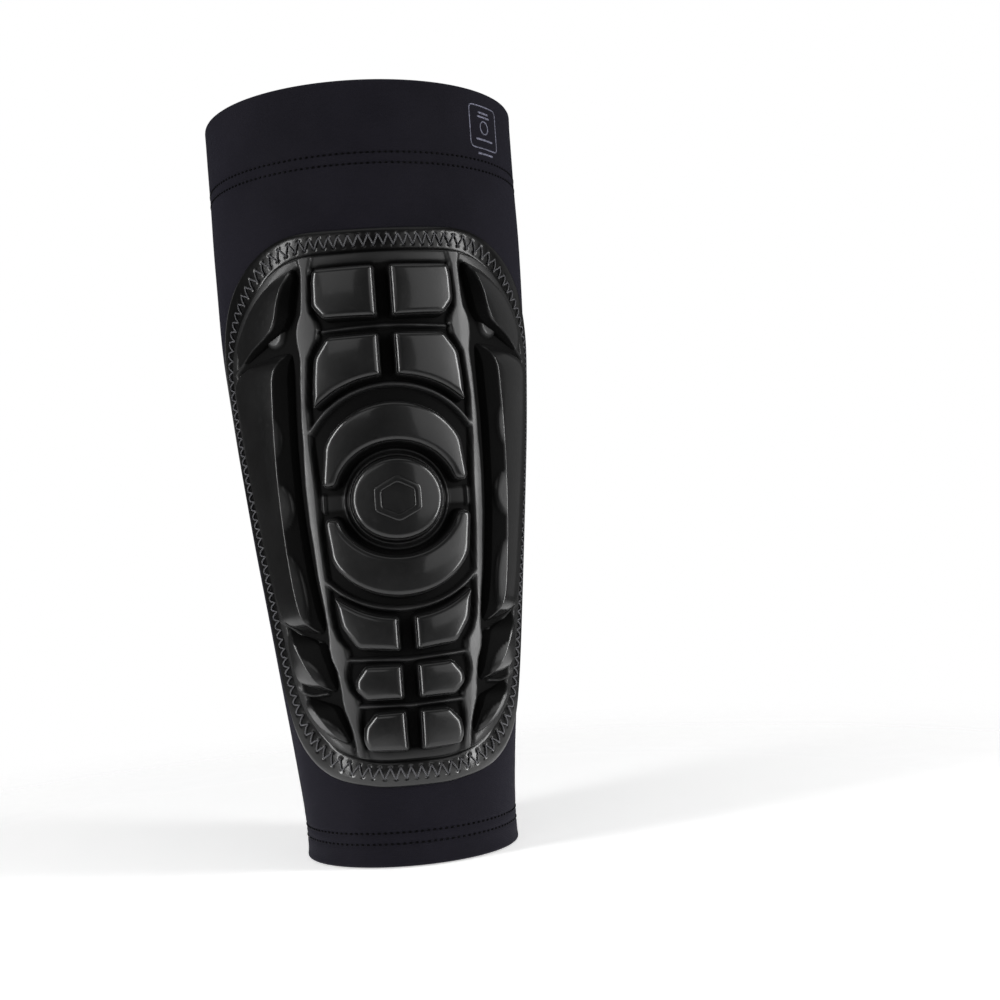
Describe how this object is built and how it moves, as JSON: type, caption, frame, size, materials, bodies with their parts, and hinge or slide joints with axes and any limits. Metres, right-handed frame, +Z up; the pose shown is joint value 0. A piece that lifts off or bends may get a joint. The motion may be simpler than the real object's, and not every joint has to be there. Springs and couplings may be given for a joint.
{
  "type": "shin guard",
  "caption": "Pull-on compression sleeve with a moulded foam shin pad sewn on its front, tapered from knee to ankle, with folded hems.",
  "frame": {"origin": "middle of the ankle opening, on the level of the ankle edge that the guard stands on", "axes": "+Z up the leg, out of the knee opening; -Y is the shin side with the pad; +X is to the right seen from the front"},
  "size_m": [0.1197, 0.1285, 0.276],
  "materials": {
    "sleeve_knit": "fine warp knit, dull sheen",
    "cuff_knit": "fine warp knit, folded double",
    "elastic": "woven rubber elastic",
    "thread": "twisted polyester thread",
    "sewn_border": "glossy film over thin foam",
    "moulded_pad": "glossy moulded film over foam",
    "print": "matt heat transfer print"
  },
  "bodies": {
    "shin_and_sleeve": {"shin_panel": "sleeve_knit", "calf_panel": "sleeve_knit", "top_cuff": "cuff_knit", "bottom_cuff": "cuff_knit", "top_elastic": "elastic", "top_hem_stitch": "thread", "bottom_hem_stitch": "thread", "left_seam_thread": "thread", "right_seam_thread": "thread", "base_sheet": "sewn_border", "web_plate": "moulded_pad", "top_border_stitch": "thread", "bottom_border_stitch": "thread", "upper_crescent": "moulded_pad", "lower_crescent": "moulded_pad", "centre_disc": "moulded_pad", "disc_emblem": "moulded_pad", "care_print": "print", "row_1_left": "moulded_pad", "row_2_left": "moulded_pad", "row_3_left": "moulded_pad", "row_4_left": "moulded_pad", "row_5_left": "moulded_pad", "row_1_right": "moulded_pad", "row_2_right": "moulded_pad", "row_3_right": "moulded_pad", "row_4_right": "moulded_pad", "row_5_right": "moulded_pad"},
    "left_wing": {"left_side_panel": "sleeve_knit", "left_base_sheet": "sewn_border", "left_web_plate": "moulded_pad", "left_border_stitch": "thread", "left_fin_block": "moulded_pad", "left_long_block": "moulded_pad", "left_upper_chunk": "moulded_pad", "left_lower_chunk": "moulded_pad"},
    "right_wing": {"right_side_panel": "sleeve_knit", "right_base_sheet": "sewn_border", "right_web_plate": "moulded_pad", "right_border_stitch": "thread", "right_fin_block": "moulded_pad", "right_long_block": "moulded_pad", "right_upper_chunk": "moulded_pad", "right_lower_chunk": "moulded_pad"}
  },
  "joints": [
    {"name": "left_wing_flex", "type": "hinge", "parent": "shin_and_sleeve", "child": "left_wing", "pos_m": [-0.026, -0.032, 0.13], "axis": [0, 0, 1], "range_deg": [0, 10], "stiffness_Nm_per_rad": 0.3},
    {"name": "right_wing_flex", "type": "hinge", "parent": "shin_and_sleeve", "child": "right_wing", "pos_m": [0.026, -0.032, 0.13], "axis": [0, 0, -1], "range_deg": [0, 10], "stiffness_Nm_per_rad": 0.3}
  ]
}
